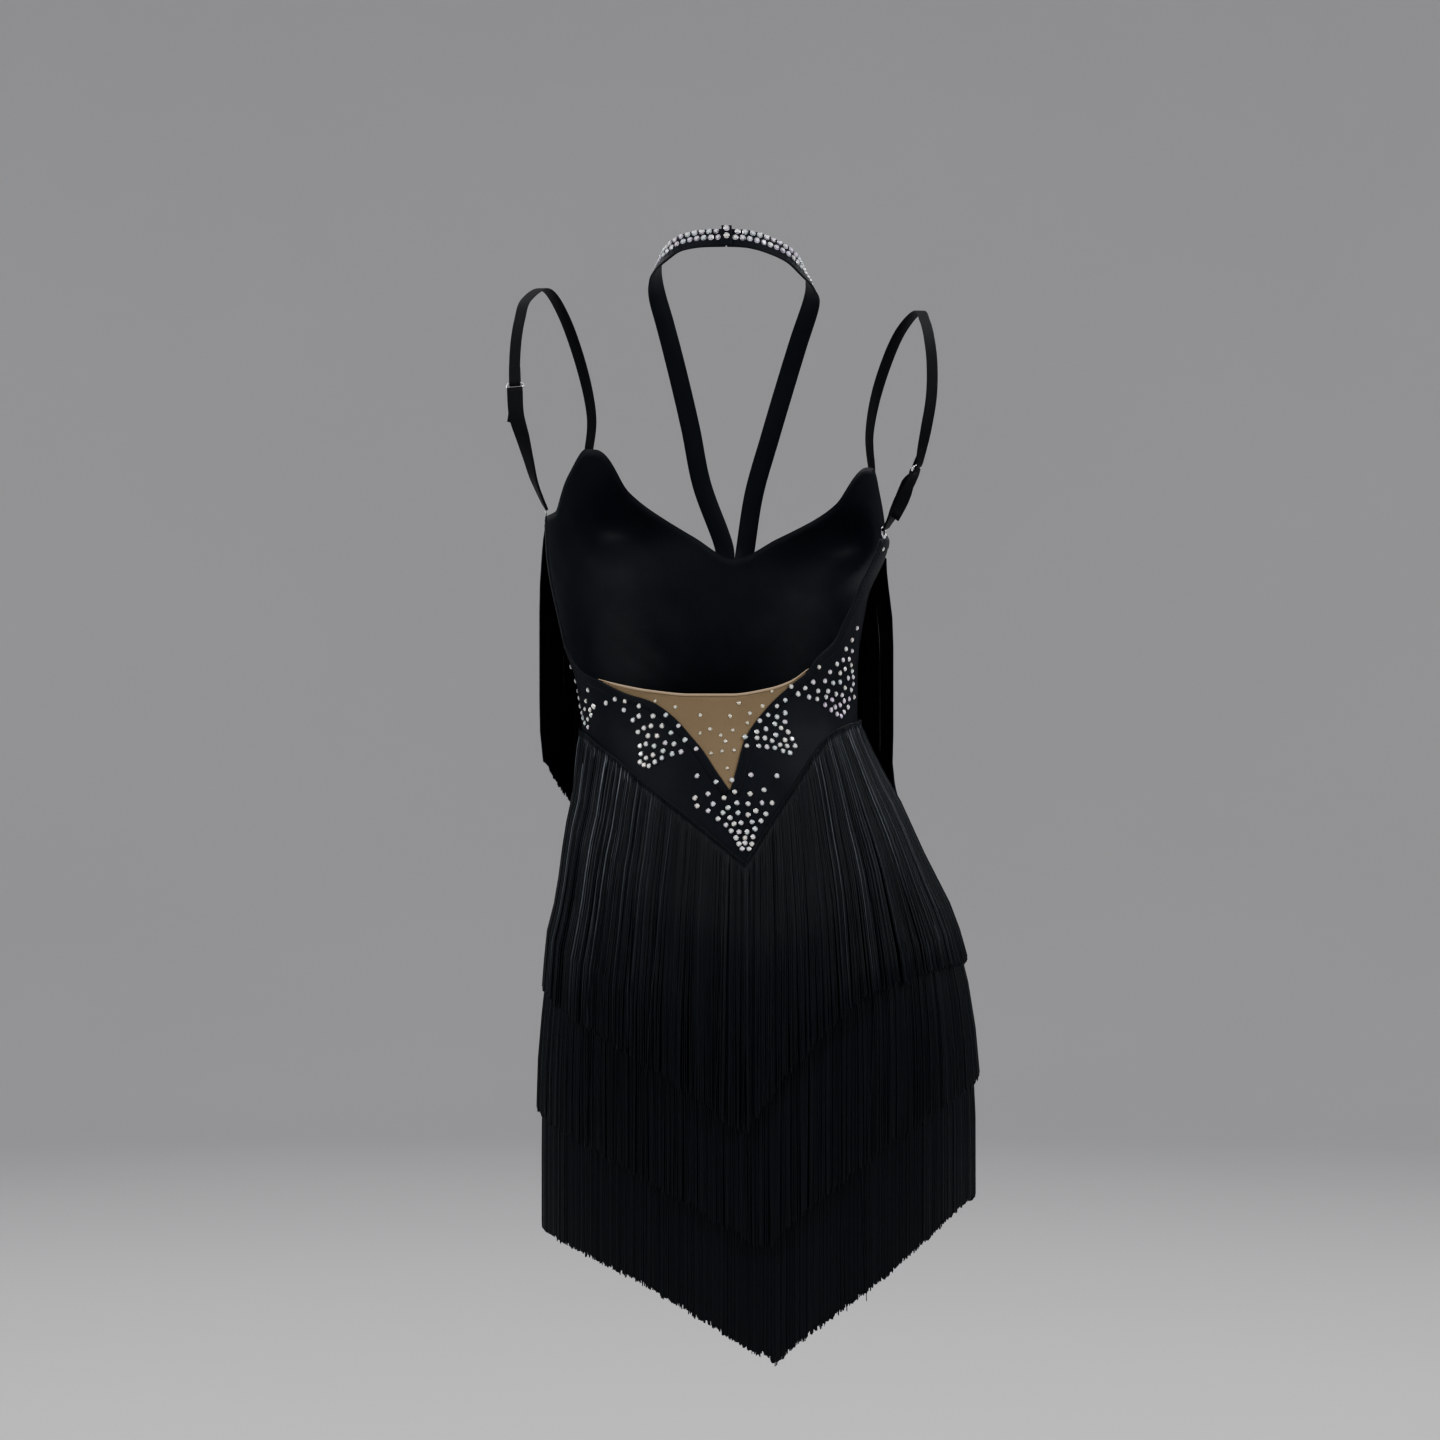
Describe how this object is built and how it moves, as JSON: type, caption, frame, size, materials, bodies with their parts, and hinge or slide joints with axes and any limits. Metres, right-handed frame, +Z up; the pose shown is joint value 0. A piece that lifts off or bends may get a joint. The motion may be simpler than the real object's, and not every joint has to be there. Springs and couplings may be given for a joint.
{
  "type": "salsa dance dress",
  "caption": "Short backless salsa dance dress in its worn form: V of nude net at the low back, V-shaped tiers of long fringe, bust fringe, thin shoulder straps and a stone-set neckband.",
  "frame": {"origin": "midway between the tops of the two shoulder straps, where the dress hangs on the wearer", "axes": "+Z up the wearer's back, +Y the way the wearer faces, so the open back faces -Y; +X towards the wearer's right"},
  "size_m": [0.3566, 0.2452, 0.8416],
  "materials": {
    "stretch_cloth": "matt black stretch jersey",
    "nude_net": "fine nude stretch net",
    "fringe_yarn": "black rayon chainette with a soft sheen",
    "elastic": "black strap elastic",
    "silver_metal": "plated sliders and rings"
  },
  "bodies": {
    "root": {"dress_back": "stretch_cloth", "dress_front": "stretch_cloth", "net_insert": "nude_net", "net_binding": "nude_net", "fringe_bust": "fringe_yarn", "fringe_tier_1": "fringe_yarn", "fringe_tier_2": "fringe_yarn", "fringe_tier_3": "fringe_yarn", "strap_left": "elastic", "strap_loop_left": "elastic", "strap_right": "elastic", "strap_loop_right": "elastic", "slider_left": "silver_metal", "slider_right": "silver_metal", "ring_left": "silver_metal", "ring_right": "silver_metal", "neckband_left": "stretch_cloth", "neckband_right": "stretch_cloth", "neck_closure": "stretch_cloth"}
  },
  "joints": []
}
